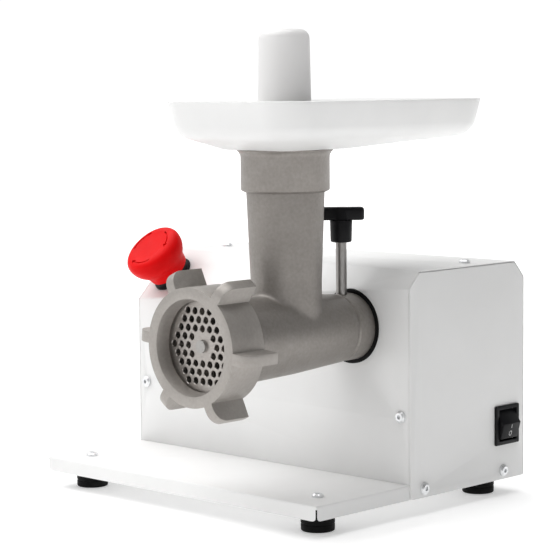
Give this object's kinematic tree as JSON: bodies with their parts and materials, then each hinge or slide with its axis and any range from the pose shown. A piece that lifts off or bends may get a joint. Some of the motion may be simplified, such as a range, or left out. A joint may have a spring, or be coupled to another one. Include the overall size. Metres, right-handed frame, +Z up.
{
  "type": "electric meat grinder",
  "caption": "Electric meat grinder: white folded-steel motor case with base plate and stop button, grey cast grinding head with ring nut, white feed tray and pusher.",
  "frame": {"origin": "centre of the machine's bounding box on the plane the rubber feet stand on", "axes": "+Z up, the grinding head's outlet faces -Y, +X to the right seen from the front (the side of the rocker switch)"},
  "size_m": [0.3077, 0.31, 0.357],
  "materials": {
    "white_enamel": "smooth powder coat",
    "zinc_steel": "zinc plated",
    "black_rubber": "matt",
    "cast_grey": "tinned casting, fine sand texture",
    "cast_auger": "tinned casting",
    "gearbox_alloy": "as cast",
    "bearing_steel": "ground",
    "bronze": "turned",
    "gear_nylon": "natural nylon",
    "core_steel": "stacked laminations",
    "copper_wire": "enamelled wire",
    "can_aluminium": "drawn can",
    "blade_steel": "ground",
    "wire_sleeve": "sleeve",
    "black_plastic": "moulded, fine texture",
    "red_plastic": "satin moulded",
    "white_plastic": "food-grade, satin"
  },
  "bodies": {
    "machine": {"base_plate": "white_enamel", "front_panel": "white_enamel", "right_side_panel": "white_enamel", "left_side_panel": "white_enamel", "top_back_cover": "white_enamel", "panel_screws": "zinc_steel", "foot_front_left": "black_rubber", "foot_front_right": "black_rubber", "foot_back_left": "black_rubber", "foot_back_right": "black_rubber", "foot_screws": "zinc_steel", "foot_nuts": "zinc_steel", "hub_housing": "cast_grey", "hub_seal_ring": "black_rubber", "gearbox_housing": "gearbox_alloy", "gearbox_screws": "zinc_steel", "hub_bearing": "bearing_steel", "output_rear_bush": "bronze", "stage_bushes": "bronze", "motor_bearings": "bearing_steel", "motor_front_shield": "gearbox_alloy", "motor_rear_shield": "gearbox_alloy", "stator_core": "core_steel", "stator_windings": "copper_wire", "motor_bolts": "zinc_steel", "motor_bracket": "zinc_steel", "run_capacitor": "can_aluminium", "capacitor_clip": "zinc_steel", "terminal_block": "gear_nylon", "wiring": "wire_sleeve", "cord_gland": "black_plastic", "gland_nut": "black_plastic", "switch_housing": "black_plastic", "switch_contacts": "bronze", "estop_collar": "black_plastic", "estop_nut": "black_plastic", "estop_contact_block": "gear_nylon"},
    "head": {"head_casting": "cast_grey", "plate_key_pin": "zinc_steel", "grinding_plate": "blade_steel"},
    "cutter": {"auger": "cast_auger", "knife": "blade_steel"},
    "ring": {"ring_nut": "cast_grey"},
    "tray_body": {"tray": "white_plastic"},
    "pusher_body": {"pusher": "white_plastic"},
    "lock": {"lock_rod": "blade_steel", "lock_knob": "black_plastic"},
    "output": {"output_shaft": "bearing_steel", "output_gear": "bearing_steel"},
    "stage": {"stage_shaft": "bearing_steel", "stage_gear": "gear_nylon", "stage_pinion": "bearing_steel"},
    "motor_rotor": {"motor_shaft": "bearing_steel", "motor_pinion": "bearing_steel", "rotor": "core_steel", "cooling_fan": "black_plastic"},
    "stop_plunger": {"estop_plunger": "red_plastic"},
    "stop_cap": {"estop_cap": "red_plastic"},
    "rocker": {"switch_rocker": "black_plastic"}
  },
  "joints": [
    {"name": "rotor_spin", "type": "hinge", "parent": "machine", "child": "motor_rotor", "pos_m": [0.0123, 0.1005, 0.0996], "axis": [0, 1, 0], "continuous": true},
    {"name": "stage_spin", "type": "hinge", "parent": "machine", "child": "stage", "pos_m": [0.04389, 0.0505, 0.12611], "axis": [0, 1, 0], "continuous": true},
    {"name": "output_spin", "type": "hinge", "parent": "machine", "child": "output", "pos_m": [0.08639, 0.0305, 0.1375], "axis": [0, 1, 0], "continuous": true},
    {"name": "head_slide", "type": "slide", "parent": "machine", "child": "head", "axis": [0, -1, 0], "range_m": [0, 0.06]},
    {"name": "cutter_spin", "type": "hinge", "parent": "head", "child": "cutter", "pos_m": [0.08639, -0.0695, 0.1375], "axis": [0, 1, 0], "continuous": true},
    {"name": "ring_turn", "type": "hinge", "parent": "head", "child": "ring", "pos_m": [0.08639, -0.1395, 0.1375], "axis": [0, -1, 0], "range_deg": [0, 1080]},
    {"name": "tray_lift", "type": "slide", "parent": "head", "child": "tray_body", "axis": [0, 0, 1], "range_m": [0, 0.05]},
    {"name": "pusher_lift", "type": "slide", "parent": "tray_body", "child": "pusher_body", "axis": [0, 0, 1], "range_m": [0, 0.11]},
    {"name": "lock_turn", "type": "hinge", "parent": "machine", "child": "lock", "pos_m": [0.08639, 0.0005, 0.183], "axis": [0, 0, 1], "range_deg": [0, 720]},
    {"name": "stop_press", "type": "slide", "parent": "machine", "child": "stop_plunger", "axis": [0.0658, 0.6965, -0.7146], "range_m": [0, 0.0045], "stiffness_N_per_m": 2500, "springref_m": -0.002},
    {"name": "stop_twist", "type": "hinge", "parent": "stop_plunger", "child": "stop_cap", "pos_m": [-0.1276, 0.0291, 0.1621], "axis": [0.0658, 0.6965, -0.7146], "range_deg": [0, 45], "stiffness_Nm_per_rad": 0.06},
    {"name": "rocker_tilt", "type": "hinge", "parent": "machine", "child": "rocker", "pos_m": [0.14289, 0.12325, 0.05525], "axis": [0, 1, 0], "range_deg": [0, 20]}
  ],
  "couplings": [
    {"joint": "stage_spin", "follows": "rotor_spin", "ratio": -0.22222},
    {"joint": "output_spin", "follows": "rotor_spin", "ratio": 0.083333},
    {"joint": "cutter_spin", "follows": "rotor_spin", "ratio": 0.083333}
  ]
}
